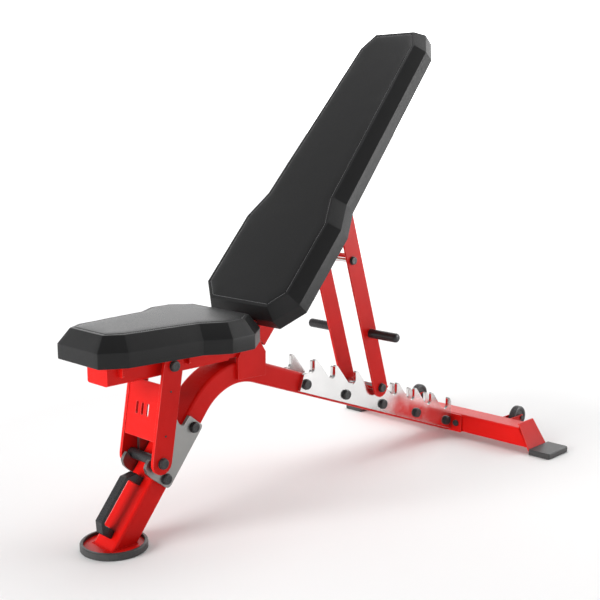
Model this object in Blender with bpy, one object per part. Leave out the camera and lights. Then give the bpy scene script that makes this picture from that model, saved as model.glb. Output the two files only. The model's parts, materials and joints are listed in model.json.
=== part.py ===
"""Adjustable weight bench: one bent main tube with a round front foot and a rear cross-member, a seat on a
hinged frame held by a link and roller in a hooked ladder, and a back pad on a hinged frame held by two struts
whose pin rests in a long toothed ladder.

Metres, +Z up.  The bench is symmetric in X and faces -Y.  Side-view positions are (y, z) measured from a
datum near the front foot; SHIFT_Y moves the middle of the bench to y = 0.
"""

import math

import bmesh
import bpy
from mathutils import Vector

# ---------------------------------------------------------------- overall layout
SHIFT_Y = -0.5970           # puts the middle of the bench's length at y = 0
GAP = 0.0003                # running and assembly gap between touching pieces

# main tube: leg, arch and beam in one bend
TUBE_HALF_W = 0.035
TUBE_DEPTH = 0.050
TUBE_WALL = 0.0028
TUBE_CORNER = 0.006
LEG_ANGLE = math.radians(51.0)
BEAM_ANGLE = math.radians(-20.2)
ARCH_CENTRE = (0.319, 0.172)
ARCH_OUTER_R = 0.176
ARCH_STEPS = 18
LEG_BOTTOM_Z = 0.0093
FLANGE_FRONT_Y = 1.1120

# front foot
FOOT_Y = -0.0104
FOOT_RING_R = 0.0705
FOOT_DISC_R = 0.0635
FOOT_RING_H = 0.0155
FOOT_DISC_Z = (0.0034, 0.0090)
FOOT_LIP_R = 0.050

# pivots in the side view
SHAFT = (0.350, 0.424)          # seat frame and back frame both turn here
SHAFT_R = 0.0060
EAR_R = 0.0135
SEAT_ROLLER_AXIS = (0.0761, 0.1749)
LINK_TOP = (0.1113, 0.3772)
STRUT_TOP = (0.6349, 0.6736)
STRUT_PIN = (0.7826, 0.2044)

# plates beside the main tube
LADDER_X = (TUBE_HALF_W + GAP, 0.0433)
BRACKET_X = (TUBE_HALF_W + GAP, 0.0433)
LADDER_BOLT_R = 0.0048
BOLT_HEAD_R = 0.0122
BOLT_HEAD_H = 0.0080

# seat frame
SEAT_TUBE_HALF_W = 0.0345
SEAT_TUBE_Z = (0.3540, 0.4030)
SEAT_TUBE_Y = (-0.0380, 0.2850)
SEAT_TUBE_WALL = 0.0030
SEAT_EAR_X = (0.0303, 0.0343)
TAB_Y = (-0.008, 0.164)
TAB_X = (SEAT_TUBE_HALF_W + GAP, 0.0475)
TAB_T = 0.005
LINK_X = (0.0504, 0.0584)
LINK_HALF_W = 0.025
SEAT_ROLLER_R = 0.0113
SEAT_ROLLER_HALF = 0.0500

# seat pad: flat top outline as (half width, distance from the front of the flat top)
SEAT_TOP_Z = 0.4663
SEAT_TOP_Y = -0.0605
SEAT_OUTLINE = (
    (0.0571, 0.0000),
    (0.0788, 0.0350),
    (0.0973, 0.2088),
    (0.1280, 0.2592),
    (0.1280, 0.3074),
    (0.0931, 0.3515),
)
SEAT_BEVEL = (0.0228, 0.0308)   # grows outwards, drops
PAD_THICK = 0.0628
BOARD_T = 0.012
BOARD_INSET = 0.010

# back pad
BACK_ANGLE = math.radians(48.70)
BACK_ORIGIN = (0.3902, 0.4337)  # on the back plane, level with the bottom of the flat front
BACK_OUTLINE = (
    (0.0940, 0.0000),
    (0.1324, 0.0410),
    (0.1324, 0.2351),
    (0.1067, 0.3061),
    (0.0861, 0.7789),
    (0.0616, 0.8248),
)
BACK_BEVEL = (0.0176, 0.0301)
BACK_THICK = 0.0622
BACK_TUBE_HALF_W = 0.0298
BACK_TUBE_DEPTH = 0.050
BACK_TUBE_V = (-0.040, 0.700)
BACK_TUBE_WALL = 0.0030
BACK_EAR_X = (0.0255, 0.0296)

# struts
STRUT_X = (0.0528, 0.0588)
STRUT_HALF_W = 0.025
PIN_ROLLER_R = 0.0090
PIN_ROLLER_HALF = 0.0524
GRIP_AT = (0.7370, 0.3530)
GRIP_X = (STRUT_X[1] + GAP, 0.1475)
GRIP_R = 0.0115
TIE_ROD_AT = (0.6670, 0.5430)
TIE_ROD_R = 0.0050
BRACE_AT = (0.6636, 0.5545)
BRACE_HALF = (0.0045, 0.0040)   # up the struts, across them

# rear end
FLANGE_X = 0.078
FLANGE_T = 0.006
REAR_Z = (0.0155, 0.0655)
CROSS_Y = (1.1183, 1.1880)
CROSS_END_X = (0.2868, 0.2580)  # mitred end: at the bottom, at the top
CROSS_WALL = 0.003
END_PLATE_T = 0.0035
END_PLATE_TOP_Z = 0.0760
END_PLATE_FRONT = (1.1185, 0.106)    # y at the foot's top, and how it moves back per metre up
END_PLATE_BACK = (1.2050, -0.153)
FOOT_TAB_Z = (0.0080, 0.0120)
FOOT_TAB_X = 0.3480
REAR_FOOT_X = (0.2937, 0.3563)
REAR_FOOT_Y = (1.1146, 1.2135)
REAR_FOOT_H = 0.0155
WHEEL_X = 0.174
WHEEL_AT = (1.2462, 0.0540)
WHEEL_R = 0.031
WHEEL_HALF_W = 0.0095
WHEEL_BORE_R = 0.0045
WHEEL_AXLE_R = 0.0042


# ---------------------------------------------------------------- scene helpers
def clear_scene():
    for item in list(bpy.data.objects):
        bpy.data.objects.remove(item, do_unlink=True)


def material(name, colour, metallic, roughness):
    made = bpy.data.materials.new(name)
    made.use_nodes = True
    shader = made.node_tree.nodes["Principled BSDF"]
    shader.inputs["Base Color"].default_value = (*colour, 1.0)
    shader.inputs["Metallic"].default_value = metallic
    shader.inputs["Roughness"].default_value = roughness
    made.diffuse_color = (*colour, 1.0)
    return made


LOOKS = {
    "red": ((0.55, 0.02, 0.015), 0.0, 0.35),
    "black": ((0.03, 0.03, 0.03), 0.0, 0.45),
    "steel": ((0.62, 0.61, 0.60), 1.0, 0.20),
    "grey": ((0.28, 0.28, 0.27), 0.8, 0.45),
    "rubber": ((0.04, 0.04, 0.04), 0.0, 0.80),
    "pad": ((0.05, 0.05, 0.05), 0.0, 0.55),
    "wood": ((0.45, 0.33, 0.20), 0.0, 0.75),
}


def make_object(name, mesh, look, pivot=(0.0, 0.0)):
    """Turn a bmesh in datum coordinates into an object whose origin lies on `pivot` (y, z)."""
    bmesh.ops.remove_doubles(mesh, verts=mesh.verts, dist=0.00005)
    bmesh.ops.recalc_face_normals(mesh, faces=mesh.faces)
    for vert in mesh.verts:
        vert.co.y -= pivot[0]
        vert.co.z -= pivot[1]
    data = bpy.data.meshes.new(name)
    mesh.to_mesh(data)
    mesh.free()
    made = bpy.data.objects.new(name, data)
    if pivot == (0.0, 0.0):
        made.location = (0.0, SHIFT_Y, 0.0)
    else:
        made.location = (0.0, pivot[0] + SHIFT_Y, pivot[1])
    bpy.context.scene.collection.objects.link(made)
    if look:
        colour, metallic, roughness = LOOKS[look]
        data.materials.append(material(name, colour, metallic, roughness))
    return made


def shade_round(item, angle=math.radians(35.0)):
    """Smooth faces, with the edges sharper than `angle` kept crisp."""
    data = item.data
    for face in data.polygons:
        face.use_smooth = True
    work = bmesh.new()
    work.from_mesh(data)
    for edge in work.edges:
        if len(edge.link_faces) == 2 and edge.calc_face_angle(0.0) > angle:
            edge.smooth = False
    work.to_mesh(data)
    work.free()
    return item


def cut(target, cutter):
    cutter.hide_render = True
    cutter.display_type = "WIRE"
    step = target.modifiers.new("cut_" + cutter.name, "BOOLEAN")
    step.operation = "DIFFERENCE"
    step.solver = "EXACT"
    step.object = cutter


def join(target, added):
    added.hide_render = True
    added.display_type = "WIRE"
    step = target.modifiers.new("join_" + added.name, "BOOLEAN")
    step.operation = "UNION"
    step.solver = "EXACT"
    step.object = added


# ---------------------------------------------------------------- shape helpers
def add_loft(mesh, loops, close_ends=True, ring=False):
    """Skin equal-length loops of 3-D points; ring=True joins the last loop back to the first."""
    rows = [[mesh.verts.new(point) for point in loop] for loop in loops]
    pairs = list(zip(rows[:-1], rows[1:]))
    if ring:
        pairs.append((rows[-1], rows[0]))
    count = len(rows[0])
    for low, high in pairs:
        for i in range(count):
            j = (i + 1) % count
            mesh.faces.new((low[i], low[j], high[j], high[i]))
    if close_ends and not ring:
        mesh.faces.new(list(reversed(rows[0])))
        mesh.faces.new(rows[-1])


def prism_x(name, outline, x_low, x_high, look, pivot=(0.0, 0.0)):
    """A plate: a side-view outline of (y, z) points between two x values."""
    mesh = bmesh.new()
    loops = [[(x, y, z) for y, z in outline] for x in (x_low, x_high)]
    add_loft(mesh, loops)
    return make_object(name, mesh, look, pivot)


def lathe_x(name, profile, centre, look, pivot=(0.0, 0.0), segments=24, hollow=False):
    """Turn (x, radius) points about the x-directed axis through centre (y, z)."""
    mesh = bmesh.new()
    loops = []
    for x, radius in profile:
        loop = []
        for i in range(segments):
            turn = 2.0 * math.pi * i / segments
            loop.append((x, centre[0] + radius * math.cos(turn), centre[1] + radius * math.sin(turn)))
        loops.append(loop)
    add_loft(mesh, loops, ring=hollow)
    return shade_round(make_object(name, mesh, look, pivot))


def lathe_z(name, profile, centre_y, look, segments=48, hollow=False):
    """Turn (radius, z) points about the vertical axis at x = 0, y = centre_y."""
    mesh = bmesh.new()
    loops = []
    for radius, z in profile:
        loop = []
        for i in range(segments):
            turn = 2.0 * math.pi * i / segments
            loop.append((radius * math.cos(turn), centre_y + radius * math.sin(turn), z))
        loops.append(loop)
    add_loft(mesh, loops, ring=hollow)
    return shade_round(make_object(name, mesh, look))


def drill_x(name, holes, x_low, x_high, pivot=(0.0, 0.0), segments=16):
    """One cutter holding a plain cylinder along x for each (centre, radius) in `holes`."""
    mesh = bmesh.new()
    for centre, radius in holes:
        loops = []
        for x in (x_low, x_high):
            loop = []
            for i in range(segments):
                turn = 2.0 * math.pi * (i + 0.37) / segments
                loop.append((x, centre[0] + radius * math.cos(turn), centre[1] + radius * math.sin(turn)))
            loops.append(loop)
        add_loft(mesh, loops)
    return make_object(name, mesh, None, pivot)


def through_bolt(name, centre, x_low, x_high, shank_r, look="black", pivot=(0.0, 0.0),
                 head_r=BOLT_HEAD_R, head_h=BOLT_HEAD_H):
    """A bolt along x: plain shank, and a chamfered round head bearing on x_low and on x_high."""
    edge = 0.0022
    profile = (
        (x_low - GAP - head_h, head_r - edge),
        (x_low - GAP - head_h + edge, head_r),
        (x_low - GAP, head_r),
        (x_low - GAP, shank_r),
        (x_high + GAP, shank_r),
        (x_high + GAP, head_r),
        (x_high + GAP + head_h - edge, head_r),
        (x_high + GAP + head_h, head_r - edge),
    )
    return lathe_x(name, profile, centre, look, pivot, segments=20)


def arc(centre, radius, start_deg, end_deg, steps):
    points = []
    for i in range(steps + 1):
        turn = math.radians(start_deg + (end_deg - start_deg) * i / steps)
        points.append((centre[0] + radius * math.cos(turn), centre[1] + radius * math.sin(turn)))
    return points


def rounded(corners, radii, steps=3):
    """Round each corner of a closed 2-D outline; every corner gives steps + 1 points."""
    points = []
    count = len(corners)
    for i in range(count):
        here = Vector(corners[i])
        before = (Vector(corners[i - 1]) - here).normalized()
        after = (Vector(corners[(i + 1) % count]) - here).normalized()
        half = 0.5 * before.angle(after)
        radius = radii[i] if isinstance(radii, (list, tuple)) else radii
        reach = radius / math.tan(half)
        middle = here + (before + after).normalized() * (radius / math.sin(half))
        first = here + before * reach
        last = here + after * reach
        for k in range(steps + 1):
            blend = k / steps
            spoke = (first - middle).lerp(last - middle, blend).normalized()
            points.append(tuple(middle + spoke * radius))
    return points


def grown(corners, amount):
    """Offset a closed counter-clockwise 2-D outline outwards by mitring its corners."""
    moved = []
    count = len(corners)
    for i in range(count):
        before = Vector(corners[i]) - Vector(corners[i - 1])
        after = Vector(corners[(i + 1) % count]) - Vector(corners[i])
        normal_a = Vector((before.y, -before.x)).normalized()
        normal_b = Vector((after.y, -after.x)).normalized()
        mitre = (normal_a + normal_b).normalized()
        moved.append(tuple(Vector(corners[i]) + mitre * (amount / mitre.dot(normal_a))))
    return moved


def mirrored(half):
    """Both sides of a pad outline, counter-clockwise, from its right-hand half."""
    right = [(x, v) for x, v in half]
    left = [(-x, v) for x, v in reversed(half)]
    return right + left


def slot_outline(start, end, radius, steps=8):
    """A bar with two round ends between two (y, z) points."""
    heading = math.degrees(math.atan2(end[1] - start[1], end[0] - start[0]))
    points = arc(end, radius, heading - 90.0, heading + 90.0, steps)
    points += arc(start, radius, heading + 90.0, heading + 270.0, steps)
    return points


def rect_section(half_w, half_h, corner, steps=2):
    box = ((half_w, -half_h), (half_w, half_h), (-half_w, half_h), (-half_w, -half_h))
    return rounded(box, corner, steps)


# ---------------------------------------------------------------- directions of the leg and the beam
def leg_point(along, out):
    """(y, z) from a distance up the leg's front face and a height out of that face."""
    start = (-0.0402, 0.0082)
    y = start[0] + along * math.cos(LEG_ANGLE) - out * math.sin(LEG_ANGLE)
    z = start[1] + along * math.sin(LEG_ANGLE) + out * math.cos(LEG_ANGLE)
    return (y, z)


def beam_point(along, up):
    """(y, z) from a distance down the beam's top face and a height above that face."""
    start = (0.4425, 0.3144)
    y = start[0] + along * math.cos(BEAM_ANGLE) - up * math.sin(BEAM_ANGLE)
    z = start[1] + along * math.sin(BEAM_ANGLE) + up * math.cos(BEAM_ANGLE)
    return (y, z)


def back_point(up, out):
    """(y, z) from a distance up the back plane and a height out of its front."""
    y = BACK_ORIGIN[0] + up * math.cos(BACK_ANGLE) - out * math.sin(BACK_ANGLE)
    z = BACK_ORIGIN[1] + up * math.sin(BACK_ANGLE) + out * math.cos(BACK_ANGLE)
    return (y, z)


# ---------------------------------------------------------------- base
SEAT_BOLTS = (leg_point(0.1825, -0.0275), leg_point(0.3065, -0.0275))
BACK_BOLT_ALONG = (0.0935, 0.2455, 0.3985, 0.5515, 0.6975)


def tube_stations(section):
    """Loops of the main tube's section (x, out) along leg, arch and beam, with both end cuts."""
    turns = [math.degrees(LEG_ANGLE) + 90.0, math.degrees(BEAM_ANGLE) + 90.0]
    middle_r = ARCH_OUTER_R - 0.5 * TUBE_DEPTH
    loops = []
    first = []
    for x, out in section:
        spot = arc(ARCH_CENTRE, middle_r + out, turns[0], turns[0], 1)[0]
        run = (spot[1] - LEG_BOTTOM_Z) / math.sin(LEG_ANGLE)
        first.append((x, spot[0] - run * math.cos(LEG_ANGLE), LEG_BOTTOM_Z))
    loops.append(first)
    for i in range(ARCH_STEPS + 1):
        turn = turns[0] + (turns[1] - turns[0]) * i / ARCH_STEPS
        loop = []
        for x, out in section:
            spot = arc(ARCH_CENTRE, middle_r + out, turn, turn, 1)[0]
            loop.append((x, spot[0], spot[1]))
        loops.append(loop)
    last = []
    end_y = FLANGE_FRONT_Y - GAP
    for x, out in section:
        spot = arc(ARCH_CENTRE, middle_r + out, turns[1], turns[1], 1)[0]
        run = (end_y - spot[0]) / math.cos(BEAM_ANGLE)
        last.append((x, end_y, spot[1] + run * math.sin(BEAM_ANGLE)))
    loops.append(last)
    return loops


def main_tube():
    outer = rect_section(TUBE_HALF_W, 0.5 * TUBE_DEPTH, TUBE_CORNER)
    inner = rect_section(TUBE_HALF_W - TUBE_WALL, 0.5 * TUBE_DEPTH - TUBE_WALL, TUBE_CORNER - TUBE_WALL)
    loops = tube_stations(outer) + list(reversed(tube_stations(inner)))
    mesh = bmesh.new()
    add_loft(mesh, loops, ring=True)
    tube = shade_round(make_object("main_tube", mesh, "red"))
    spots = list(SEAT_BOLTS) + [beam_point(along, -0.025) for along in BACK_BOLT_ALONG]
    cut(tube, drill_x("cutter_tube_bolts", [(spot, LADDER_BOLT_R + GAP) for spot in spots], -0.05, 0.05))


def front_foot():
    low, high = FOOT_DISC_Z
    lathe_z(
        "front_foot_plate",
        ((FOOT_DISC_R - 0.0008, low), (FOOT_DISC_R, low + 0.0008), (FOOT_DISC_R, high - 0.0008),
         (FOOT_DISC_R - 0.0008, high)),
        FOOT_Y,
        "red",
    )
    inner = FOOT_DISC_R + GAP
    lathe_z(
        "front_foot_ring",
        ((FOOT_LIP_R, 0.0), (FOOT_RING_R - 0.0012, 0.0), (FOOT_RING_R, 0.0012),
         (FOOT_RING_R, FOOT_RING_H - 0.0022), (FOOT_RING_R - 0.0022, FOOT_RING_H),
         (inner + 0.0006, FOOT_RING_H), (inner, FOOT_RING_H - 0.0006), (inner, low - GAP),
         (FOOT_LIP_R, low - GAP)),
        FOOT_Y,
        "rubber",
        hollow=True,
    )


def carry_handle():
    side = (
        (0.0225, GAP), (0.0222, 0.0245), (0.0412, 0.0425), (0.1438, 0.0425),
        (0.1632, 0.0245), (0.1630, GAP), (0.1450, GAP), (0.1448, 0.0315),
        (0.1412, 0.0350), (0.0446, 0.0350), (0.0412, 0.0315), (0.0410, GAP),
    )
    outline = [leg_point(along, out) for along, out in side]
    half = 0.0115
    mesh = bmesh.new()
    add_loft(mesh, [[(x, y, z) for y, z in outline] for x in (-half, half)])
    handle = make_object("carry_handle", mesh, "black")
    soften = handle.modifiers.new("soften", "BEVEL")
    soften.width = 0.0014
    soften.segments = 2
    soften.limit_method = "ANGLE"
    soften.angle_limit = math.radians(25.0)


def seat_ladder():
    """Hooked plates on the leg: three upward-opening slots for the seat roller."""
    pitch = 0.0525
    seat_along = 0.2027
    seat_out = 0.0145
    slot_r = SEAT_ROLLER_R + 0.0005
    lean = math.degrees(math.atan2(math.cos(LEG_ANGLE), math.sin(LEG_ANGLE)))
    profile = [
        (0.1775, -0.0487), (0.1720, -0.0470), (0.1684, -0.0430), (0.1671, -0.0380),
        (0.1670, 0.0116), (0.1690, 0.0247), (0.1760, 0.0350), (0.1850, 0.0378),
    ]
    for hook in range(3):
        centre = (seat_along + pitch * hook, seat_out)
        if hook:
            profile.append((centre[0] - 0.0133, centre[1] + 0.0165))
            profile.append((centre[0] - 0.0092, centre[1] + 0.0210))
            profile.append((centre[0] - 0.0072, centre[1] + 0.0195))
            profile.append((centre[0] - 0.0078, centre[1] + 0.0130))
        else:
            profile.append((centre[0] - 0.0067, centre[1] + 0.0225))
            profile.append((centre[0] - 0.0062, centre[1] + 0.0190))
        if hook < 2:
            profile += arc(centre, slot_r, 165.0, 270.0 + lean, 10)
    profile += [
        (0.2968, 0.0208), (0.2934, 0.0135), (0.2934, 0.0055), (0.2953, 0.0014), (0.2990, -0.0008),
        (0.3190, -0.0012), (0.3214, -0.0030),
        (0.3214, -0.0410), (0.3206, -0.0450), (0.3180, -0.0477), (0.3140, -0.0487),
    ]
    outline = [leg_point(along, out) for along, out in profile]
    for side, (low, high) in {"left": (-LADDER_X[1], -LADDER_X[0]), "right": LADDER_X}.items():
        plate = prism_x(f"seat_ladder_{side}", outline, low, high, "grey")
        holes = [(spot, LADDER_BOLT_R + GAP) for spot in SEAT_BOLTS]
        cut(plate, drill_x(f"cutter_seat_ladder_{side}", holes, low - 0.002, high + 0.002))
    for number, spot in enumerate(SEAT_BOLTS, 1):
        through_bolt(f"seat_ladder_bolt_{number}", spot, -LADDER_X[1], LADDER_X[1], LADDER_BOLT_R)


def back_ladder():
    """Long toothed plates on the beam: upright rear walls hold the strut pin, sloped backs let it ride up."""
    walls = (0.1130, 0.1910, 0.2730, 0.3700, 0.4490, 0.5300, 0.6090, 0.6920)
    floor_up = 0.0044
    tip_up = 0.0380
    tip_flat = 0.0090
    slope = math.radians(30.5)
    lean = math.tan(-BEAM_ANGLE)
    slot_r = 0.0098
    profile = [(0.0790, -0.0450), (0.0780, -0.0040), (0.0860, 0.0020)]
    front_tip = 0.0
    for wall in walls:
        centre = (wall - slot_r * math.cos(BEAM_ANGLE) - slot_r * lean, floor_up + slot_r)
        floor_arc = arc(centre, slot_r, 270.0 - math.degrees(slope), 360.0 + math.degrees(-BEAM_ANGLE), 6)
        if front_tip:
            profile.append((front_tip, tip_up))
            start = floor_arc[0]
            drop = (tip_up - start[1]) / math.tan(slope)
            landing = front_tip + drop
            if landing < start[0] - 0.002:
                profile.append((landing, start[1]))
        profile += floor_arc
        last = floor_arc[-1]
        rise = tip_up - 0.003 - last[1]
        profile.append((last[0] - rise * lean, last[1] + rise))
        profile.append((last[0] - rise * lean + 0.0018, tip_up))
        front_tip = last[0] - rise * lean + tip_flat
    profile += [(front_tip, tip_up)]
    outline = [beam_point(along, up) for along, up in profile]
    end_y = FLANGE_FRONT_Y - 0.0008
    for up in (0.0300, -0.0450):
        foot = beam_point(0.0, up)
        run = (end_y - foot[0]) / math.cos(BEAM_ANGLE)
        outline.append(beam_point(run, up))
    for side, (low, high) in {"left": (-LADDER_X[1], -LADDER_X[0]), "right": LADDER_X}.items():
        plate = prism_x(f"back_ladder_{side}", outline, low, high, "steel")
        holes = [(beam_point(along, -0.025), LADDER_BOLT_R + GAP) for along in BACK_BOLT_ALONG]
        cut(plate, drill_x(f"cutter_back_ladder_{side}", holes, low - 0.002, high + 0.002))
    for number, along in enumerate(BACK_BOLT_ALONG, 1):
        through_bolt(f"back_ladder_bolt_{number}", beam_point(along, -0.025), -LADDER_X[1], LADDER_X[1],
                     LADDER_BOLT_R, head_r=0.0130)


def pivot_brackets():
    outline = [(0.3040, 0.3090), (0.3890, 0.3060), (0.3890, 0.3610), (0.3760, 0.3810)]
    outline += arc(SHAFT, EAR_R + 0.0005, -25.0, 180.0, 12)
    outline += [(0.3150, 0.3750), (0.3040, 0.3570)]
    for side, (low, high) in {"left": (-BRACKET_X[1], -BRACKET_X[0]), "right": BRACKET_X}.items():
        plate = prism_x(f"pivot_bracket_{side}", outline, low, high, "red")
        cut(plate, drill_x(f"cutter_bracket_{side}", [(SHAFT, SHAFT_R + GAP)], low - 0.002, high + 0.002))
    through_bolt("main_pivot_shaft", SHAFT, -BRACKET_X[1], BRACKET_X[1], SHAFT_R, head_h=0.0050)


def rear_end():
    low_z, high_z = REAR_Z
    bolt_x = 0.0607
    bolt_z = 0.5 * (low_z + high_z)
    bolt_r = 0.0040
    mesh = bmesh.new()
    face = rounded(((FLANGE_X, low_z), (FLANGE_X, high_z), (-FLANGE_X, high_z), (-FLANGE_X, low_z)), 0.004)
    loops = []
    for y in (FLANGE_FRONT_Y, FLANGE_FRONT_Y + FLANGE_T):
        loops.append([(x, y, z) for x, z in face])
    add_loft(mesh, loops)
    flange = make_object("rear_flange", mesh, "red")

    mid_y = 0.5 * (CROSS_Y[0] + CROSS_Y[1])
    mid_z = 0.5 * (low_z + high_z)
    rings = []
    for wall in (0.0, CROSS_WALL):
        section = rect_section(
            0.5 * (CROSS_Y[1] - CROSS_Y[0]) - wall, 0.5 * (high_z - low_z) - wall, 0.006 - 0.7 * wall
        )
        pair = []
        for side in (-1.0, 1.0):
            loop = []
            for across, up in section:
                z = mid_z + up
                share = (z - low_z) / (high_z - low_z)
                x = side * (CROSS_END_X[0] + (CROSS_END_X[1] - CROSS_END_X[0]) * share)
                loop.append((x, mid_y + across, z))
            pair.append(loop)
        rings.append(pair)
    mesh = bmesh.new()
    add_loft(mesh, [rings[0][0], rings[0][1], rings[1][1], rings[1][0]], ring=True)
    cross = shade_round(make_object("rear_cross_member", mesh, "red"))

    for side, x in (("left", -bolt_x), ("right", bolt_x)):
        mesh = bmesh.new()
        head_y = FLANGE_FRONT_Y - GAP
        profile = ((head_y - 0.0055, 0.0058), (head_y - 0.0046, 0.0078), (head_y - 0.0025, 0.0090),
                   (head_y, 0.0090), (head_y, bolt_r), (CROSS_Y[0] + 0.018, bolt_r))
        loops = []
        for y, radius in profile:
            loop = []
            for i in range(24):
                turn = 2.0 * math.pi * i / 24
                loop.append((x + radius * math.cos(turn), y, bolt_z + radius * math.sin(turn)))
            loops.append(loop)
        add_loft(mesh, loops)
        shade_round(make_object(f"flange_bolt_{side}", mesh, "black"))
        mesh = bmesh.new()
        loops = []
        for y in (FLANGE_FRONT_Y - 0.004, CROSS_Y[0] + 0.006):
            loop = []
            for i in range(20):
                turn = 2.0 * math.pi * i / 20
                loop.append((x + (bolt_r + GAP) * math.cos(turn), y, bolt_z + (bolt_r + GAP) * math.sin(turn)))
            loops.append(loop)
        add_loft(mesh, loops)
        drill = make_object(f"cutter_flange_{side}", mesh, None)
        cut(flange, drill)
        cut(cross, drill)


def end_plates_and_feet():
    """Sloped plates over the mitred tube ends, each bent into a tab that the rubber foot slips onto."""
    low_z, high_z = REAR_Z
    lean = (CROSS_END_X[0] - CROSS_END_X[1]) / (high_z - low_z)
    shift = GAP * math.sqrt(1.0 + lean * lean)

    def face_x(z):
        return CROSS_END_X[0] + shift - lean * (z - low_z)

    def edge_y(rule, z):
        return rule[0] + rule[1] * (z - REAR_FOOT_H)

    rules = (END_PLATE_FRONT, END_PLATE_BACK)
    thick = END_PLATE_T * math.sqrt(1.0 + lean * lean)
    tab_low, tab_high = FOOT_TAB_Z
    profile = [
        (face_x(END_PLATE_TOP_Z), END_PLATE_TOP_Z),
        (face_x(tab_low), tab_low),
        (FOOT_TAB_X, tab_low),
        (FOOT_TAB_X, tab_high),
        (face_x(tab_high) + thick, tab_high),
        (face_x(END_PLATE_TOP_Z - 0.001) + thick, END_PLATE_TOP_Z - 0.001),
        (face_x(END_PLATE_TOP_Z) + 0.8 * thick, END_PLATE_TOP_Z),
    ]
    for side, sign in (("left", -1.0), ("right", 1.0)):
        mesh = bmesh.new()
        add_loft(mesh, [[(sign * x, edge_y(rule, z), z) for x, z in profile] for rule in rules])
        make_object(f"end_plate_{side}", mesh, "red")

        near, far = REAR_FOOT_X
        front, back = REAR_FOOT_Y
        outline = rounded(((near, front), (far, front), (far, back), (near, back)),
                          [0.003, 0.006, 0.006, 0.003], 4)
        top = grown(outline, -0.0015)
        levels = ((0.0, top), (0.0015, outline), (REAR_FOOT_H - 0.0025, outline), (REAR_FOOT_H, top))
        mesh = bmesh.new()
        add_loft(mesh, [[(sign * x, y, z) for x, y in ring] for z, ring in levels])
        foot = shade_round(make_object(f"rear_foot_{side}", mesh, "rubber"))
        mesh = bmesh.new()
        pocket = ((near - 0.01, tab_low - GAP), (FOOT_TAB_X + GAP, tab_low - GAP),
                  (FOOT_TAB_X + GAP, tab_high + GAP), (near - 0.01, tab_high + GAP))
        ends = (edge_y(END_PLATE_FRONT, tab_low) - GAP, edge_y(END_PLATE_BACK, tab_low) + GAP)
        add_loft(mesh, [[(sign * x, y, z) for x, z in pocket] for y in ends])
        cut(foot, make_object(f"cutter_foot_{side}", mesh, None))


def transport_wheels():
    inner_half = WHEEL_HALF_W + 0.0012
    cheek = 0.0030
    base_y = (CROSS_Y[1] + GAP, CROSS_Y[1] + GAP + 0.0035)
    reach = WHEEL_AT[0] + 0.0080
    half_h = 0.0075
    for side, sign in (("left", -1.0), ("right", 1.0)):
        x = sign * WHEEL_X
        plan = (
            (x - inner_half - cheek, base_y[0]), (x + inner_half + cheek, base_y[0]),
            (x + inner_half + cheek, reach), (x + inner_half, reach), (x + inner_half, base_y[1]),
            (x - inner_half, base_y[1]), (x - inner_half, reach), (x - inner_half - cheek, reach),
        )
        mesh = bmesh.new()
        add_loft(mesh, [[(px, py, z) for px, py in plan] for z in (WHEEL_AT[1] - half_h, WHEEL_AT[1] + half_h)])
        bracket = make_object(f"wheel_bracket_{side}", mesh, "red")
        holes = [(WHEEL_AT, WHEEL_AXLE_R + GAP)]
        cut(bracket, drill_x(f"cutter_wheel_bracket_{side}", holes, x - 0.02, x + 0.02))
        through_bolt(f"wheel_axle_{side}", WHEEL_AT, x - inner_half - cheek, x + inner_half + cheek,
                     WHEEL_AXLE_R, head_r=0.0065, head_h=0.0040)
        edge = 0.0050
        lathe_x(
            f"wheel_{side}",
            ((x - WHEEL_HALF_W, WHEEL_BORE_R), (x - WHEEL_HALF_W, WHEEL_R - edge),
             (x - WHEEL_HALF_W + 0.3 * edge, WHEEL_R - 0.3 * edge), (x - WHEEL_HALF_W + edge, WHEEL_R),
             (x + WHEEL_HALF_W - edge, WHEEL_R), (x + WHEEL_HALF_W - 0.3 * edge, WHEEL_R - 0.3 * edge),
             (x + WHEEL_HALF_W, WHEEL_R - edge), (x + WHEEL_HALF_W, WHEEL_BORE_R)),
            WHEEL_AT, "rubber", pivot=WHEEL_AT, segments=32, hollow=True,
        )


# ---------------------------------------------------------------- pads
def pad_loops(outline, bevel, thick, board_t, inset, place):
    """Loops of an upholstered pad from its flat face down to the recess that takes the board."""
    grow, drop = bevel
    flat = mirrored(outline)
    full = grown(flat, grow)
    inside = grown(full, -inset)
    radii_flat = [0.010] * len(flat)
    radii_full = [0.016] * len(flat)
    levels = (
        (rounded(flat, radii_flat), thick),
        (rounded(full, radii_full), thick - drop),
        (rounded(full, radii_full), 0.0),
        (rounded(inside, radii_flat), 0.0),
        (rounded(inside, radii_flat), board_t + GAP),
    )
    return [[place(x, along, out) for x, along in ring] for ring, out in levels]


def board_loops(outline, bevel, board_t, inset, place):
    grow = bevel[0]
    ring = rounded(grown(grown(mirrored(outline), grow), -inset - GAP), [0.010] * (2 * len(outline)))
    return [[place(x, along, out) for x, along in ring] for out in (0.0, board_t)]


def seat_place(x, along, out):
    return (x, SEAT_TOP_Y + along, SEAT_TOP_Z - PAD_THICK + out)


def back_place(x, along, out):
    y, z = back_point(along, out)
    return (x, y, z)


def make_pad(name, loops, look, pivot):
    mesh = bmesh.new()
    add_loft(mesh, loops)
    return shade_round(make_object(name, mesh, look, pivot), math.radians(28.0))


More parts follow.
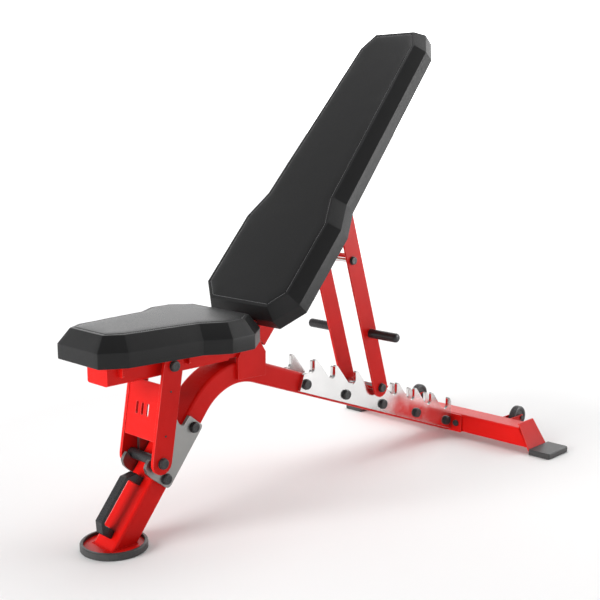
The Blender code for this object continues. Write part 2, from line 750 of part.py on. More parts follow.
# ---------------------------------------------------------------- seat
def hollow_tube(name, length_pair, place, half_w, half_h, wall, look, pivot, closed_front=False):
    """A straight rectangular tube; place(x, up, along) gives the point."""
    outer = rect_section(half_w, half_h, 0.005)
    inner = rect_section(half_w - wall, half_h - wall, 0.0025)
    start, end = length_pair
    mesh = bmesh.new()
    if closed_front:
        loops = [
            [place(x, up, start) for x, up in outer],
            [place(x, up, end) for x, up in outer],
            [place(x, up, end) for x, up in inner],
            [place(x, up, start + wall) for x, up in inner],
        ]
        add_loft(mesh, loops)
    else:
        loops = [
            [place(x, up, start) for x, up in outer],
            [place(x, up, end) for x, up in outer],
            [place(x, up, end) for x, up in inner],
            [place(x, up, start) for x, up in inner],
        ]
        add_loft(mesh, loops, ring=True)
    return shade_round(make_object(name, mesh, look, pivot))


def seat_frame():
    low, high = SEAT_TUBE_Z
    mid = 0.5 * (low + high)

    def place(x, up, along):
        return (x, along, mid + up)

    tube = hollow_tube("seat_tube", SEAT_TUBE_Y, place, SEAT_TUBE_HALF_W, 0.5 * (high - low),
                       SEAT_TUBE_WALL, "red", SHAFT, closed_front=True)
    ear = [(0.2650, 0.3600), (0.3100, 0.3600), (0.3560, 0.4050)]
    ear += arc(SHAFT, EAR_R, -40.0, 130.0, 10)
    ear += [(0.3250, 0.4000), (0.2650, 0.3990)]
    for side, (x_low, x_high) in {"left": (-SEAT_EAR_X[1], -SEAT_EAR_X[0]), "right": SEAT_EAR_X}.items():
        plate = prism_x(f"cutter_seat_ear_{side}", ear, x_low, x_high, None, SHAFT)
        join(tube, plate)
    sleeve_r = 0.0130
    holes = [(SHAFT, SHAFT_R + GAP), (LINK_TOP, sleeve_r + GAP)]
    cut(tube, drill_x("cutter_seat_tube_holes", holes, -0.05, 0.05, SHAFT, 24))
    end = LINK_X[0] - GAP
    lathe_x(
        "link_sleeve",
        ((-end, SHAFT_R + GAP), (-end, sleeve_r), (end, sleeve_r), (end, SHAFT_R + GAP)),
        LINK_TOP, "red", SHAFT, hollow=True,
    )
    number = 0
    for y in TAB_Y:
        for sign in (-1.0, 1.0):
            number += 1
            profile = (
                (TAB_X[0], 0.3700), (TAB_X[1] - 0.003, 0.3700), (TAB_X[1], 0.3730),
                (TAB_X[1], SEAT_TUBE_Z[1]), (TAB_X[0], SEAT_TUBE_Z[1]),
            )
            mesh = bmesh.new()
            add_loft(mesh, [[(sign * x, y + dy, z) for x, z in profile] for dy in (-0.5 * TAB_T, 0.5 * TAB_T)])
            make_object(f"pad_tab_{number}", mesh, "red", SHAFT)
    board = board_loops(SEAT_OUTLINE, SEAT_BEVEL, BOARD_T, BOARD_INSET, seat_place)
    make_pad("seat_board", board, "wood", SHAFT)
    pad = pad_loops(SEAT_OUTLINE, SEAT_BEVEL, PAD_THICK, BOARD_T, BOARD_INSET, seat_place)
    make_pad("seat_pad", pad, "pad", SHAFT)


def seat_link():
    span = Vector(LINK_TOP) - Vector(SEAT_ROLLER_AXIS)
    along_dir = span.normalized()
    front_dir = Vector((-along_dir.y, along_dir.x))

    def link_point(along, front):
        spot = Vector(SEAT_ROLLER_AXIS) + along_dir * along + front_dir * front
        return (spot.x, spot.y)

    outline = slot_outline(SEAT_ROLLER_AXIS, LINK_TOP, LINK_HALF_W)
    for side, (low, high) in {"left": (-LINK_X[1], -LINK_X[0]), "right": LINK_X}.items():
        plate = prism_x(f"link_plate_{side}", outline, low, high, "red", LINK_TOP)
        holes = [(spot, SHAFT_R + GAP) for spot in (LINK_TOP, SEAT_ROLLER_AXIS)]
        cut(plate, drill_x(f"cutter_link_{side}", holes, low - 0.002, high + 0.002, LINK_TOP))
    inner = LINK_X[0] - GAP
    corners = [link_point(0.0440, 0.0195), link_point(0.0440, 0.0235), link_point(0.1650, 0.0235),
               link_point(0.1650, 0.0195)]
    web = prism_x("link_web", corners, -inner, inner, "red", LINK_TOP)
    slot_r = 0.0035
    mesh = bmesh.new()
    for x in (-0.018, 0.0, 0.018):
        ring = slot_outline((x, 0.0950), (x, 0.1150), slot_r, 5)
        loops = []
        for front in (0.0150, 0.0280):
            loop = []
            for px, along in ring:
                y, z = link_point(along, front)
                loop.append((px, y, z))
            loops.append(loop)
        add_loft(mesh, loops)
    cut(web, make_object("cutter_web", mesh, None, LINK_TOP))
    through_bolt("link_top_bolt", LINK_TOP, -LINK_X[1], LINK_X[1], SHAFT_R - GAP, pivot=LINK_TOP)
    through_bolt("link_roller_bolt", SEAT_ROLLER_AXIS, -LINK_X[1], LINK_X[1], SHAFT_R - GAP,
                 pivot=LINK_TOP)
    edge = 0.0012
    half = SEAT_ROLLER_HALF
    lathe_x(
        "seat_roller",
        ((-half, SHAFT_R), (-half, SEAT_ROLLER_R - edge), (-half + edge, SEAT_ROLLER_R),
         (half - edge, SEAT_ROLLER_R), (half, SEAT_ROLLER_R - edge), (half, SHAFT_R)),
        SEAT_ROLLER_AXIS, "black", SEAT_ROLLER_AXIS, segments=28, hollow=True,
    )


# ---------------------------------------------------------------- back and strut
def back_frame():
    half_d = 0.5 * BACK_TUBE_DEPTH

    def place(x, up, along):
        y, z = back_point(along, up - half_d - GAP)
        return (x, y, z)

    tube = hollow_tube("back_tube", BACK_TUBE_V, place, BACK_TUBE_HALF_W, half_d, BACK_TUBE_WALL,
                       "red", SHAFT)
    shaft_up = -0.0338
    shaft_out = 0.0238
    ear_side = [(0.0100, -0.0060), (0.0100, -0.0440), (-0.0380, -0.0440)]
    ear = [back_point(up, out) for up, out in ear_side]
    turn = math.degrees(BACK_ANGLE)
    centre = back_point(shaft_up, shaft_out)
    ear += arc(centre, EAR_R, turn + 180.0, turn + 30.0, 10)
    ear += [back_point(-0.0196, -0.0060)]
    for side, (low, high) in {"left": (-BACK_EAR_X[1], -BACK_EAR_X[0]), "right": BACK_EAR_X}.items():
        plate = prism_x(f"cutter_back_ear_{side}", ear, low, high, None, SHAFT)
        join(tube, plate)
    sleeve_r = 0.0140
    holes = [(SHAFT, SHAFT_R + GAP), (STRUT_TOP, sleeve_r + GAP)]
    cut(tube, drill_x("cutter_back_tube_holes", holes, -0.06, 0.06, SHAFT, 24))
    end = STRUT_X[0] - GAP
    lathe_x(
        "strut_sleeve",
        ((-end, SHAFT_R + GAP), (-end, sleeve_r), (end, sleeve_r), (end, SHAFT_R + GAP)),
        STRUT_TOP, "red", SHAFT, hollow=True,
    )
    board = board_loops(BACK_OUTLINE, BACK_BEVEL, BOARD_T, BOARD_INSET, back_place)
    make_pad("back_board", board, "wood", SHAFT)
    pad = pad_loops(BACK_OUTLINE, BACK_BEVEL, BACK_THICK, BOARD_T, BOARD_INSET, back_place)
    make_pad("back_pad", pad, "pad", SHAFT)


def strut():
    outline = slot_outline(STRUT_PIN, STRUT_TOP, STRUT_HALF_W)
    holes = [(STRUT_TOP, SHAFT_R + GAP), (STRUT_PIN, SHAFT_R + GAP), (TIE_ROD_AT, 0.0040 + GAP)]
    for side, (low, high) in {"left": (-STRUT_X[1], -STRUT_X[0]), "right": STRUT_X}.items():
        bar = prism_x(f"strut_bar_{side}", outline, low, high, "red", STRUT_TOP)
        cut(bar, drill_x(f"cutter_strut_{side}", holes, low - 0.002, high + 0.002, STRUT_TOP))
    through_bolt("strut_top_bolt", STRUT_TOP, -STRUT_X[1], STRUT_X[1], SHAFT_R - GAP, pivot=STRUT_TOP)
    through_bolt("strut_pin_bolt", STRUT_PIN, -STRUT_X[1], STRUT_X[1], 0.0055, pivot=STRUT_TOP,
                 head_r=0.0118)
    inner = STRUT_X[0] - GAP
    edge = 0.0012
    head_r = 0.0105
    head_h = 0.0070
    outer = STRUT_X[1] + GAP
    lathe_x(
        "strut_tie_rod",
        ((-outer - head_h, head_r - edge), (-outer - head_h + edge, head_r), (-outer, head_r),
         (-outer, 0.0040), (-inner, 0.0040), (-inner, TIE_ROD_R), (inner, TIE_ROD_R), (inner, 0.0040),
         (outer, 0.0040), (outer, head_r), (outer + head_h - edge, head_r), (outer + head_h, head_r - edge)),
        TIE_ROD_AT, "steel", STRUT_TOP,
    )
    heading = (Vector(STRUT_TOP) - Vector(STRUT_PIN)).normalized()
    side_way = Vector((-heading.y, heading.x))
    corners = []
    for along, across in ((-1.0, -1.0), (1.0, -1.0), (1.0, 1.0), (-1.0, 1.0)):
        spot = Vector(BRACE_AT) + heading * (along * BRACE_HALF[0]) + side_way * (across * BRACE_HALF[1])
        corners.append((spot.x, spot.y))
    prism_x("strut_brace", corners, -inner, inner, "red", STRUT_TOP)
    for side, sign in (("left", -1.0), ("right", 1.0)):
        low, high = GRIP_X
        profile = ((low, GRIP_R - 0.001), (low + 0.001, GRIP_R), (high - 0.007, GRIP_R),
                   (high - 0.0035, GRIP_R * 0.93), (high - 0.001, GRIP_R * 0.72), (high, GRIP_R * 0.40))
        lathe_x(f"grip_{side}", [(sign * x, radius) for x, radius in profile], GRIP_AT, "black", STRUT_TOP,
                segments=28)
    half = PIN_ROLLER_HALF
    lathe_x(
        "strut_roller",
        ((-half, 0.0058), (-half, PIN_ROLLER_R - edge), (-half + edge, PIN_ROLLER_R),
         (half - edge, PIN_ROLLER_R), (half, PIN_ROLLER_R - edge), (half, 0.0058)),
        STRUT_PIN, "steel", STRUT_PIN, segments=28, hollow=True,
    )


def build():
    clear_scene()
    main_tube()
    front_foot()
    carry_handle()
    seat_ladder()
    back_ladder()
    pivot_brackets()
    rear_end()
    end_plates_and_feet()
    transport_wheels()
    seat_frame()
    seat_link()
    back_frame()
    strut()


build()
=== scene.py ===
import json
import math

import bmesh
import bpy
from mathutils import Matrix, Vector, noise


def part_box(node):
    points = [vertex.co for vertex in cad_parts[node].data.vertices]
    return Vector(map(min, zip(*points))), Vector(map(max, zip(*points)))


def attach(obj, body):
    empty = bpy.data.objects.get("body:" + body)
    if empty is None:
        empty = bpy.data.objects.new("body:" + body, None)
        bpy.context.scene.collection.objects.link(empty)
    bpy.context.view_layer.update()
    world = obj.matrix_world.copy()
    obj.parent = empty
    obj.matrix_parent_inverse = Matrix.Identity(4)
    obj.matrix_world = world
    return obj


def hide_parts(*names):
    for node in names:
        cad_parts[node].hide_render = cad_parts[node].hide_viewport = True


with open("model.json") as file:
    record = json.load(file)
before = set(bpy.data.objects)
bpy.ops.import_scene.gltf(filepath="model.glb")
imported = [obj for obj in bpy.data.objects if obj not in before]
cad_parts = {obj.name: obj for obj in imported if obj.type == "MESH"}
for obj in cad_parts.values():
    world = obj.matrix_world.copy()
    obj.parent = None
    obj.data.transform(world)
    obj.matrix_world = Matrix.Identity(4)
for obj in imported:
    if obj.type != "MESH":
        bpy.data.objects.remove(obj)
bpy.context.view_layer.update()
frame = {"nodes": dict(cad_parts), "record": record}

# ---------------------------------------------------------------- shared sizes, in metres
# These are the part's own. SHIFT_Y puts the middle of the bench's length at the origin.
SHIFT_Y = -0.5970
SIDES = (-1.0, 1.0)
UP = Vector((0.0, 0.0, 1.0))

# Half outlines of the pads' faces are (x, along), and a bevel is how far it grows and how far it drops.
SEAT_TOP_Y = -0.0605 + SHIFT_Y
SEAT_TOP_Z = 0.4663
SEAT_THICK = 0.0628
SEAT_OUTLINE = (
    (0.0571, 0.0000), (0.0788, 0.0350), (0.0973, 0.2088),
    (0.1280, 0.2592), (0.1280, 0.3074), (0.0931, 0.3515),
)
SEAT_BEVEL = (0.0228, 0.0308)
BACK_ANGLE = math.radians(48.70)
BACK_ORIGIN = (0.3902 + SHIFT_Y, 0.4337)
BACK_THICK = 0.0622
BACK_OUTLINE = (
    (0.0940, 0.0000), (0.1324, 0.0410), (0.1324, 0.2351),
    (0.1067, 0.3061), (0.0861, 0.7789), (0.0616, 0.8248),
)
BACK_BEVEL = (0.0176, 0.0301)
BOARD_THICK = 0.0120

BACK_TUBE_END = 0.700                   # along the back
BACK_TUBE_MIDDLE = -0.0253              # out of the back, from the pad's underside
BACK_TUBE_HALF = (0.0298, 0.0250)
LINK_TOP = Vector((0.1113 + SHIFT_Y, 0.3772))
LINK_LOW = Vector((0.0761 + SHIFT_Y, 0.1749))
LEG_DEPTH = 0.0640                      # where the leg meets its foot
BRACKET_FOOT_Z = (0.3090, 0.3060)       # the pivot brackets' lower corners, front and rear
CROSS_TOP_X = 0.2580                    # where the mitred end of the cross-member meets its top


# ---------------------------------------------------------------- shader helpers
def new_material(name):
    made = bpy.data.materials.new(name)
    made.use_nodes = True
    tree = made.node_tree
    return made, tree, tree.nodes["Principled BSDF"]


def object_coords(tree, stretch=(1.0, 1.0, 1.0)):
    coords = tree.nodes.new("ShaderNodeTexCoord")
    mapping = tree.nodes.new("ShaderNodeMapping")
    mapping.inputs["Scale"].default_value = stretch
    tree.links.new(coords.outputs["Object"], mapping.inputs["Vector"])
    return mapping.outputs["Vector"]


def noise_tex(tree, vector, scale, detail, rough=0.5):
    node = tree.nodes.new("ShaderNodeTexNoise")
    node.inputs["Scale"].default_value = scale
    node.inputs["Detail"].default_value = detail
    node.inputs["Roughness"].default_value = rough
    tree.links.new(vector, node.inputs["Vector"])
    return node.outputs["Fac"]


def voronoi_tex(tree, vector, scale):
    node = tree.nodes.new("ShaderNodeTexVoronoi")
    node.inputs["Scale"].default_value = scale
    tree.links.new(vector, node.inputs["Vector"])
    return node.outputs["Distance"]


def span(tree, value, source, target):
    """Maps the range source, low and high, to the range target."""
    node = tree.nodes.new("ShaderNodeMapRange")
    for socket, number in zip(("From Min", "From Max", "To Min", "To Max"), (*source, *target)):
        node.inputs[socket].default_value = number
    tree.links.new(value, node.inputs["Value"])
    return node.outputs["Result"]


def combined(tree, operation, first, second):
    node = tree.nodes.new("ShaderNodeMath")
    node.operation = operation
    tree.links.new(first, node.inputs[0])
    tree.links.new(second, node.inputs[1])
    return node.outputs[0]


def vector_maths(tree, operation, vector):
    node = tree.nodes.new("ShaderNodeVectorMath")
    node.operation = operation
    tree.links.new(vector, node.inputs[0])
    return node


def paint(tree, shader, mix, dark, light):
    """Base colour from dark to light as mix goes from 0 to 1."""
    node = tree.nodes.new("ShaderNodeMix")
    node.data_type = "RGBA"
    node.inputs["A"].default_value = (*dark, 1.0)
    node.inputs["B"].default_value = (*light, 1.0)
    tree.links.new(mix, node.inputs["Factor"])
    tree.links.new(node.outputs["Result"], shader.inputs["Base Color"])


def roughness(tree, shader, value, source, target):
    tree.links.new(span(tree, value, source, target), shader.inputs["Roughness"])


def bump(tree, shader, height, strength, distance):
    node = tree.nodes.new("ShaderNodeBump")
    node.inputs["Strength"].default_value = strength
    node.inputs["Distance"].default_value = distance
    tree.links.new(height, node.inputs["Height"])
    tree.links.new(node.outputs["Normal"], shader.inputs["Normal"])


def shade(base, factor):
    return tuple(factor * c for c in base)


MIDDLE = (0.3, 0.7)   # where nearly all of a noise texture's values lie
UNIT = (0.0, 1.0)


# ---------------------------------------------------------------- materials
def powder_coat(name, base):
    """Glossy paint with faint clouds of colour, uneven gloss and orange peel."""
    made, tree, shader = new_material(name)
    vector = object_coords(tree)
    clouds = noise_tex(tree, vector, scale=9.0, detail=3.0)
    light = tuple(1.05 * c + 0.002 for c in base)
    paint(tree, shader, span(tree, clouds, MIDDLE, UNIT), shade(base, 0.90), light)
    specks = noise_tex(tree, vector, scale=700.0, detail=2.0)
    roughness(tree, shader, specks, MIDDLE, (0.26, 0.36))
    peel = noise_tex(tree, vector, scale=420.0, detail=3.0, rough=0.6)
    bump(tree, shader, peel, strength=0.10, distance=0.0006)
    shader.inputs["Specular IOR Level"].default_value = 0.09
    return made


def lighter_edge_patches(name, base, patch_colour, rough):
    """The rubbed edge of a painted or bare plate: the coat mixed with lighter patches, which are wear, and
    on the red coat also a painted highlight.
    """
    made, tree, shader = new_material(name)
    patches = noise_tex(tree, object_coords(tree), scale=55.0, detail=5.0, rough=0.65)
    paint(tree, shader, span(tree, patches, (0.42, 0.62), UNIT), base, patch_colour)
    roughness(tree, shader, patches, MIDDLE, (rough, rough + 0.18))
    bump(tree, shader, patches, strength=0.15, distance=0.0004)
    return made


def dark_finish(name, base, rough, grain, strength):
    """Black oxide, plastic, rubber or thread: mottled, with a fine grain."""
    made, tree, shader = new_material(name)
    vector = object_coords(tree)
    clouds = noise_tex(tree, vector, scale=60.0, detail=4.0)
    paint(tree, shader, clouds, shade(base, 0.75), shade(base, 1.3))
    fine = noise_tex(tree, vector, scale=grain, detail=3.0)
    roughness(tree, shader, fine, MIDDLE, (rough - 0.06, rough + 0.08))
    bump(tree, shader, fine, strength, distance=0.0005)
    shader.inputs["Specular IOR Level"].default_value = 0.35
    return made


def steel(name, base, rough, stretch):
    """Bare or plated metal with a brushed grain, which stretch draws out by axis."""
    made, tree, shader = new_material(name)
    brush = noise_tex(tree, object_coords(tree, stretch), scale=60.0, detail=5.0, rough=0.65)
    clouds = noise_tex(tree, object_coords(tree), scale=25.0, detail=3.0)
    paint(tree, shader, clouds, shade(base, 0.88), base)
    roughness(tree, shader, brush, MIDDLE, (rough - 0.05, rough + 0.07))
    bump(tree, shader, brush, strength=0.05, distance=0.0003)
    shader.inputs["Metallic"].default_value = 1.0
    return made


def upholstery(name, base, rough):
    """Coated fabric with a fine pebble grain."""
    made, tree, shader = new_material(name)
    vector = object_coords(tree)
    cells = voronoi_tex(tree, vector, scale=620.0)
    clouds = noise_tex(tree, vector, scale=14.0, detail=4.0)
    fine = noise_tex(tree, vector, scale=1500.0, detail=2.0)
    pebbles = combined(tree, "MULTIPLY", span(tree, cells, (0.0, 0.55), (1.0, 0.35)),
                       span(tree, clouds, MIDDLE, (0.7, 1.0)))
    paint(tree, shader, pebbles, shade(base, 0.78), shade(base, 1.18))
    roughness(tree, shader, cells, (0.0, 0.6), (rough - 0.03, rough + 0.14))
    grain = combined(tree, "ADD", span(tree, cells, (0.0, 0.6), (1.0, 0.0)),
                     span(tree, fine, (0.2, 0.8), (0.0, 0.35)))
    bump(tree, shader, grain, strength=0.22, distance=0.0004)
    shader.inputs["Specular IOR Level"].default_value = 0.22
    return made


def plywood(name, dark, light):
    made, tree, shader = new_material(name)
    rings = noise_tex(tree, object_coords(tree, (4.0, 0.6, 0.6)), scale=40.0, detail=5.0, rough=0.6)
    paint(tree, shader, span(tree, rings, MIDDLE, UNIT), dark, light)
    roughness(tree, shader, rings, MIDDLE, (0.55, 0.8))
    bump(tree, shader, rings, strength=0.2, distance=0.0006)
    return made


RED = powder_coat("red_powder_coat", (0.61, 0.0070, 0.0050))
# The red plates' bevelled edges turn lighter red in patches: partly rubbed paint, partly a painted
# highlight along the edges.
RED_EDGE_WEAR_AND_HIGHLIGHT = lighter_edge_patches("red_coat_edge_wear_and_highlight", (0.62, 0.012, 0.009), (0.72, 0.070, 0.055), 0.30)
STEEL_EDGE = lighter_edge_patches("steel_edge", (0.30, 0.30, 0.29), (0.62, 0.61, 0.60), 0.28)
# BLACK also colours the seat tube's vent dot, which is painted shade inside the hole.
BLACK = dark_finish("black_oxide_and_vent_shade", (0.026, 0.026, 0.027), 0.36, grain=900.0, strength=0.12)
PLASTIC = dark_finish("black_plastic", (0.018, 0.018, 0.019), 0.30, grain=500.0, strength=0.08)
RUBBER = dark_finish("rubber", (0.042, 0.042, 0.042), 0.45, grain=650.0, strength=0.20)
WHEEL_RUBBER = dark_finish("wheel_rubber", (0.045, 0.045, 0.047), 0.30, grain=400.0, strength=0.12)
THREAD = dark_finish("pad_thread", (0.150, 0.150, 0.153), 0.60, grain=2500.0, strength=0.3)
POLISHED = steel("polished_steel", (0.79, 0.785, 0.78), 0.17, (3.0, 0.4, 0.4))
BRIGHT = steel("bright_steel", (0.74, 0.74, 0.75), 0.22, (0.3, 3.0, 3.0))
GREY = steel("grey_steel", (0.245, 0.245, 0.238), 0.42, (3.0, 1.0, 1.0))
STAPLE = steel("staple_wire", (0.55, 0.55, 0.55), 0.30, (1.0, 1.0, 1.0))
PAD = upholstery("pad_cover", (0.0085, 0.0085, 0.0088), 0.30)
WOOD = plywood("plywood_board", (0.25, 0.15, 0.07), (0.45, 0.31, 0.17))

LOOKS = {
    "back_ladder": POLISHED, "seat_ladder": GREY, "strut_roller": BRIGHT, "strut_tie_rod": BRIGHT,
    "seat_board": WOOD, "back_board": WOOD, "seat_pad": PAD, "back_pad": PAD,
    "grip": PLASTIC, "carry_handle": PLASTIC, "seat_roller": PLASTIC,
    "front_foot_ring": RUBBER, "rear_foot": RUBBER, "wheel": WHEEL_RUBBER,
}


def family(node):
    """A node's name without its side or number."""
    stem, _, last = node.rpartition("_")
    return stem if last in ("left", "right") or last.isdigit() else node


def is_bolt(node):
    return "bolt" in node or "axle" in node or node == "main_pivot_shaft"


def finish_of(node):
    return BLACK if is_bolt(node) else LOOKS.get(family(node), RED)


# ---------------------------------------------------------------- mesh helpers
def finish_mesh(name, mesh, look, body, smooth_angle):
    """Makes an object that rides on a body, with edges sharp where its faces turn past smooth_angle."""
    bmesh.ops.recalc_face_normals(mesh, faces=mesh.faces)
    limit = math.radians(smooth_angle)
    for face in mesh.faces:
        face.smooth = True
    for edge in mesh.edges:
        if len(edge.link_faces) == 2 and edge.calc_face_angle(0.0) > limit:
            edge.smooth = False
    data = bpy.data.meshes.new(name)
    mesh.to_mesh(data)
    mesh.free()
    made = bpy.data.objects.new(name, data)
    bpy.context.scene.collection.objects.link(made)
    data.materials.append(look)
    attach(made, body)
    return made


def add_loft(mesh, loops, ring=False):
    """Skins closed loops of equal counts: end to end with caps, or round to the first loop as a ring."""
    rows = [[mesh.verts.new(point) for point in loop] for loop in loops]
    pairs = list(zip(rows[:-1], rows[1:]))
    if ring:
        pairs.append((rows[-1], rows[0]))
    count = len(rows[0])
    for low, high in pairs:
        for i in range(count):
            j = (i + 1) % count
            mesh.faces.new((low[i], low[j], high[j], high[i]))
    if not ring:
        mesh.faces.new(list(reversed(rows[0])))
        mesh.faces.new(rows[-1])


def lathe(mesh, profile, centre, axis="x", segments=36, ring=False):
    """Turns a profile of (along, radius) about an x or y axis through centre."""
    loops = []
    for along, radius in profile:
        loop = []
        for i in range(segments):
            turn = 2.0 * math.pi * i / segments
            a, b = radius * math.cos(turn), radius * math.sin(turn)
            if axis == "x":
                loop.append((along, centre[1] + a, centre[2] + b))
            else:
                loop.append((centre[0] + a, along, centre[2] + b))
        loops.append(loop)
    add_loft(mesh, loops, ring)


def grown(corners, amount):
    """A closed outline moved outwards by amount, with its corners mitred."""
    moved = []
    count = len(corners)
    for i in range(count):
        before = Vector(corners[i]) - Vector(corners[i - 1])
        after = Vector(corners[(i + 1) % count]) - Vector(corners[i])
        normal = Vector((before.y, -before.x)).normalized()
        mitre = (normal + Vector((after.y, -after.x)).normalized()).normalized()
        moved.append(tuple(Vector(corners[i]) + mitre * (amount / mitre.dot(normal))))
    return moved


def mirrored(half):
    return [(x, along) for x, along in half] + [(-x, along) for x, along in reversed(half)]


def corner_arc(previous, corner, following, radius, steps):
    """The points of an arc that rounds a corner between its two neighbours."""
    here = Vector(corner)
    before = (Vector(previous) - here).normalized()
    after = (Vector(following) - here).normalized()
    half = 0.5 * before.angle(after)
    reach = radius / math.tan(half)
    middle = here + (before + after).normalized() * (radius / math.sin(half))
    first, last = here + before * reach, here + after * reach
    points = []
    for k in range(steps + 1):
        spoke = (first - middle).lerp(last - middle, k / steps).normalized()
        points.append(middle + spoke * radius)
    return points


def dense_ring(corners, radius, counts, steps):
    """A closed outline with rounded corners, and straight runs divided as counts says."""
    total = len(corners)
    arcs = []
    for i in range(total):
        arcs.append(corner_arc(corners[i - 1], corners[i], corners[(i + 1) % total], radius, steps))
    ring = []
    for i in range(total):
        ring += arcs[i]
        start, end = arcs[i][-1], arcs[(i + 1) % total][0]
        ring += [start.lerp(end, k / counts[i]) for k in range(1, counts[i])]
    return ring


def rounded_path(points, radii, steps=5):
    """An open 2-D path with its inner corners rounded."""
    path = [Vector(points[0])]
    for i, radius in enumerate(radii):
        path += corner_arc(*points[i:i + 3], radius, steps)
    path.append(Vector(points[-1]))
    return path


def tube_along(mesh, points, radius, segments, across=UP):
    """A round bead along 3-D points. Its radius is a number, or a function of the point's index."""
    last = len(points) - 1
    rows = []
    for i, point in enumerate(points):
        ahead = (points[min(i + 1, last)] - points[max(i - 1, 0)]).normalized()
        side = ahead.cross(across)
        if side.length < 0.01:
            side = ahead.cross(Vector((0.0, 1.0, 0.0)))
        side.normalize()
        up = side.cross(ahead)
        size = radius(i) if callable(radius) else radius
        row = []
        for k in range(segments):
            turn = 2.0 * math.pi * k / segments
            row.append(point + side * (size * math.cos(turn)) + up * (size * math.sin(turn)))
        rows.append(row)
    add_loft(mesh, rows)


# ---------------------------------------------------------------- pads
PAD_CORNER = 0.0034
PAD_STEP = 0.011
# The face's section from its middle outwards is (how far inside the face's edge, height over the face).
CROWN = 0.0018
CROWN_SHARES = ((0.034, 1.0), (0.026, 0.93), (0.018, 0.78), (0.013, 0.55), (0.0104, 0.40), (0.0092, 0.20))
CHANNEL = ((0.0086, -0.0004), (0.0081, -0.0009), (0.0076, -0.0009), (0.0071, -0.0004))
RIM = ((0.0064, 0.10 * CROWN), (0.0054, 0.10 * CROWN), (0.0044, 0.0))
FACE_SECTION = tuple((inside, share * CROWN) for inside, share in CROWN_SHARES) + CHANNEL + RIM
BEVEL_START = 0.0080            # any place on the face, which gives the rounded edge its direction
BEVEL_RADII = (0.0026, 0.0034, 0.0026)
WRAP = 0.0125                   # how far the cover turns under
WRAP_RISE = 0.0006
# Two sizes of swell in the fabric: height, and how fast the noise runs across and up the pad.
SWELL, SWELL_ACROSS, SWELL_UP = 0.0007, 9.0, 30.0
FINE_SWELL, FINE_TIMES = 0.00035, 3.1
FACE_EDGE = 0.003               # inside this the swell is upwards, and further out it turns sideways
TIGHT_EDGE, TIGHT_SHARE = 0.011, 0.6

STITCH_PITCH, STITCH_SHORTEST, STITCH_RADIUS = 0.0055, 0.0018, 0.00042
STITCH_ENDS = (0.08, 0.86)      # where a stitch starts and ends in its pitch
STITCH_INSIDE, STITCH_SINK = 0.00785, 0.0007
STAPLE_INSIDE, STAPLE_CORNER, STAPLE_RUN = 0.0075, 0.009, 0.008
STAPLE_HALF, STAPLE_RADIUS = 0.0050, 0.0004
STAPLE_OUT = (-0.0001, -0.0003)  # its ends and its middle, from the underside


def seat_place(x, along, out):
    return Vector((x, SEAT_TOP_Y + along, SEAT_TOP_Z - SEAT_THICK + out))


def back_place(x, along, out):
    y = BACK_ORIGIN[0] + along * math.cos(BACK_ANGLE) - out * math.sin(BACK_ANGLE)
    z = BACK_ORIGIN[1] + along * math.sin(BACK_ANGLE) + out * math.cos(BACK_ANGLE)
    return Vector((x, y, z))


def pad_levels(thick, grow, drop):
    """The pad's section as (growth of the outline, height): face, bevel, wall and underside."""
    levels = [(-inside, thick + height) for inside, height in FACE_SECTION]
    path = rounded_path(
        ((-BEVEL_START, thick), (0.0, thick), (grow, thick - drop), (grow, 0.0), (grow - WRAP, 0.0)),
        BEVEL_RADII,
    )
    levels += [(point.x, point.y) for point in path[1:]]
    levels += [(grow - WRAP, WRAP_RISE), (grow - WRAP, BOARD_THICK)]
    return levels


def run_counts(corners):
    """How many steps each straight run of an outline is divided into."""
    counts = []
    for i in range(len(corners)):
        run = (Vector(corners[(i + 1) % len(corners)]) - Vector(corners[i])).length
        counts.append(max(2, round(run / PAD_STEP)))
    return counts


def cushion(name, corners, counts, bevel, thick, place, body, node, seed):
    """A faceted foam block in fabric that swells a little unevenly, wrapped round to its underside."""
    grow, drop = bevel
    loops = []
    for amount, out in pad_levels(thick, grow, drop):
        wall = min(1.0, max(0.0, (amount + FACE_EDGE) / (grow + FACE_EDGE)))
        tension = 1.0 if amount < grow - TIGHT_EDGE else TIGHT_SHARE
        loop = []
        for point in dense_ring(grown(corners, amount), PAD_CORNER, counts, 4):
            spot = Vector((point.x * SWELL_ACROSS, point.y * SWELL_ACROSS, out * SWELL_UP + seed))
            swell = SWELL * noise.noise(spot) + FINE_SWELL * noise.noise(spot * FINE_TIMES)
            shift = swell * tension
            x = point.x + shift * wall * (point.x / max(0.001, point.length))
            loop.append(place(x, point.y, out + shift * (1.0 - wall)))
        loops.append(loop)
    mesh = bmesh.new()
    add_loft(mesh, loops)
    made = finish_mesh(name, mesh, PAD, body, 80.0)
    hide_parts(node)


def bent_wire(mesh, place, start, end, ends_out, middle_out, radius, segments):
    """A short wire whose middle stands at another height than its ends: a stitch or a staple."""
    middle = start.lerp(end, 0.5)
    line = [place(start.x, start.y, ends_out), place(middle.x, middle.y, middle_out),
            place(end.x, end.y, ends_out)]
    tube_along(mesh, line, radius, segments, place(0, 0, 1) - place(0, 0, 0))


def stitching(name, corners, counts, thick, place, body):
    """Separate stitches along the sewn channel."""
    mesh = bmesh.new()
    ring = dense_ring(grown(corners, -STITCH_INSIDE), PAD_CORNER, counts, 2)
    for here, there in zip(ring, ring[1:] + ring[:1]):
        pieces = max(1, round((there - here).length / STITCH_PITCH))
        for k in range(pieces):
            start, end = (here.lerp(there, (k + part) / pieces) for part in STITCH_ENDS)
            if (end - start).length > STITCH_SHORTEST:
                bent_wire(mesh, place, start, end, thick - STITCH_SINK, thick, STITCH_RADIUS, 5)
    thread = finish_mesh(name, mesh, THREAD, body, 40.0)


